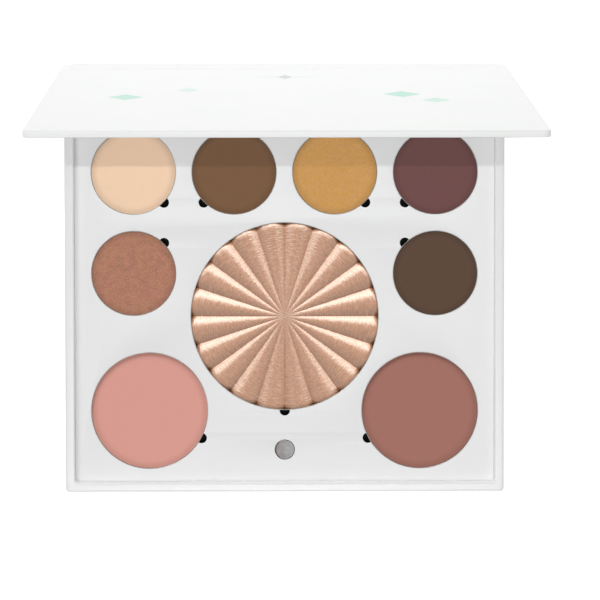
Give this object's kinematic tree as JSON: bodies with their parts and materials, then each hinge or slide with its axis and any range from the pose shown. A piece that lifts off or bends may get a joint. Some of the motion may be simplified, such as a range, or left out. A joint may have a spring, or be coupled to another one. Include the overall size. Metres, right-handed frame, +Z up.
{
  "type": "eyeshadow palette",
  "caption": "Flat square make-up palette: paper-wrapped board tray with round lift-out powder pans in a well insert, and a hinged lid with a mirror inside.",
  "frame": {"origin": "centre of the underside of the tray", "axes": "+X to the user's right, +Y to the hinge at the rear, +Z up from the table; the lid stands open at rest"},
  "size_m": [0.1366, 0.133, 0.1426],
  "materials": {
    "white_paper": "satin",
    "greyboard": "matte",
    "magnetic_rubber": "matte",
    "black_foam": "matte",
    "white_card": "matte",
    "nickel": "satin",
    "tinplate": "satin",
    "mirror_glass": "polished",
    "adhesive_sheet": "matte",
    "cream_powder": "matte",
    "brown_powder": "matte",
    "gold_powder": "satin",
    "plum_powder": "matte",
    "copper_powder": "satin",
    "umber_powder": "matte",
    "pearl_powder": "satin",
    "pink_powder": "matte",
    "mauve_powder": "matte"
  },
  "bodies": {
    "tray": {"bottom_paper": "white_paper", "bottom_board": "greyboard", "left_wall_board": "greyboard", "right_wall_board": "greyboard", "front_wall_board": "greyboard", "spine_board": "greyboard", "tray_wrap": "white_paper", "magnetic_sheet": "magnetic_rubber", "insert_core": "black_foam", "insert_face": "white_card", "tray_magnet": "nickel", "hinge_strip": "white_paper"},
    "lid": {"lid_board": "greyboard", "lid_wrap": "white_paper", "lid_lining": "white_paper", "mirror_panel": "white_card", "mirror_tape": "adhesive_sheet", "mirror": "mirror_glass", "lid_magnet": "nickel"},
    "cream_eyeshadow": {"cream_pan": "tinplate", "cream_shadow": "cream_powder"},
    "brown_eyeshadow": {"brown_pan": "tinplate", "brown_shadow": "brown_powder"},
    "gold_eyeshadow": {"gold_pan": "tinplate", "gold_shadow": "gold_powder"},
    "plum_eyeshadow": {"plum_pan": "tinplate", "plum_shadow": "plum_powder"},
    "copper_eyeshadow": {"copper_pan": "tinplate", "copper_shadow": "copper_powder"},
    "umber_eyeshadow": {"umber_pan": "tinplate", "umber_shadow": "umber_powder"},
    "highlighter_refill": {"highlighter_pan": "tinplate", "highlighter": "pearl_powder"},
    "pink_blusher": {"pink_pan": "tinplate", "pink_blush": "pink_powder"},
    "mauve_blusher": {"mauve_pan": "tinplate", "mauve_blush": "mauve_powder"}
  },
  "joints": [
    {"name": "lid_hinge", "type": "hinge", "parent": "tray", "child": "lid", "pos_m": [0, 0.06644, 0.0118], "axis": [-1, 0, 0], "range_deg": [-79.9, 100.1], "deforming": ["hinge_strip"]},
    {"name": "cream_lift", "type": "slide", "parent": "tray", "child": "cream_eyeshadow", "axis": [0, 0, 1], "range_m": [0, 0.012]},
    {"name": "brown_lift", "type": "slide", "parent": "tray", "child": "brown_eyeshadow", "axis": [0, 0, 1], "range_m": [0, 0.012]},
    {"name": "gold_lift", "type": "slide", "parent": "tray", "child": "gold_eyeshadow", "axis": [0, 0, 1], "range_m": [0, 0.012]},
    {"name": "plum_lift", "type": "slide", "parent": "tray", "child": "plum_eyeshadow", "axis": [0, 0, 1], "range_m": [0, 0.012]},
    {"name": "copper_lift", "type": "slide", "parent": "tray", "child": "copper_eyeshadow", "axis": [0, 0, 1], "range_m": [0, 0.012]},
    {"name": "umber_lift", "type": "slide", "parent": "tray", "child": "umber_eyeshadow", "axis": [0, 0, 1], "range_m": [0, 0.012]},
    {"name": "highlighter_lift", "type": "slide", "parent": "tray", "child": "highlighter_refill", "axis": [0, 0, 1], "range_m": [0, 0.012]},
    {"name": "pink_lift", "type": "slide", "parent": "tray", "child": "pink_blusher", "axis": [0, 0, 1], "range_m": [0, 0.012]},
    {"name": "mauve_lift", "type": "slide", "parent": "tray", "child": "mauve_blusher", "axis": [0, 0, 1], "range_m": [0, 0.012]}
  ]
}
